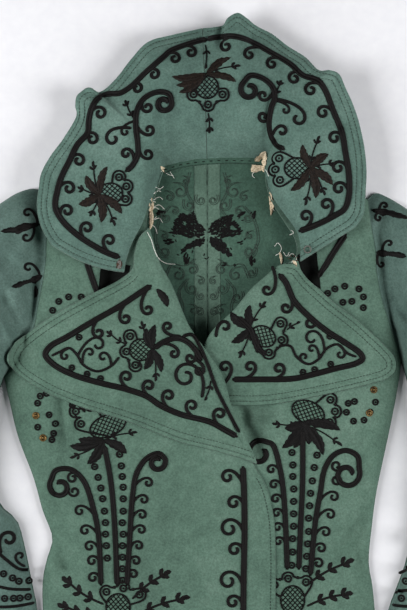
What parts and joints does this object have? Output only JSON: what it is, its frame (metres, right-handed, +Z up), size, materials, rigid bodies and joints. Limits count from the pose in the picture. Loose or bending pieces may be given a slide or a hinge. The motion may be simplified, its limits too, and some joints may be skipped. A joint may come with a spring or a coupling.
{
  "type": "basque jacket",
  "caption": "Wool basque jacket of the 1890s laid flat: wide fluted collar, turned-back revers, gigot sleeves and applied braid scrolls",
  "frame": {"origin": "middle of the laid-out jacket's bounding box, on the table it lies on", "axes": "+X toward the wearer's left, +Y from the hem toward the collar, +Z up off the table"},
  "size_m": [0.688, 0.8458, 0.0526],
  "materials": {
    "wool": "matt fulled wool cloth, fine twill under a soft nap",
    "braid": "black-brown silk and worsted braid, ribbed",
    "interfacing": "unbleached stiff linen, frayed",
    "thread": "cotton sewing thread",
    "steel": "dull steel wire",
    "brass": "tarnished metal beads"
  },
  "bodies": {
    "root": {"back_right": "wool", "back_left": "wool", "front_right": "wool", "front_left": "wool", "rever_right": "wool", "rever_left": "wool", "collar_right": "wool", "collar_left": "wool", "sleeve_right_top": "wool", "sleeve_right_under": "wool", "sleeve_left_top": "wool", "sleeve_left_under": "wool", "collar_braid_right": "braid", "collar_braid_left": "braid", "collar_scroll_right": "braid", "collar_scroll_left": "braid", "rever_braid_right": "braid", "rever_braid_left": "braid", "rever_stem_right": "braid", "rever_stem_left": "braid", "edge_braid": "braid", "shoulder_braid_right": "braid", "shoulder_braid_left": "braid", "front_stem_right_outer": "braid", "front_stem_right_centre": "braid", "front_stem_right_inner": "braid", "front_stem_left_outer": "braid", "front_stem_left_centre": "braid", "front_stem_left_inner": "braid", "neck_hook": "steel", "neck_eye": "steel"}
  },
  "joints": []
}
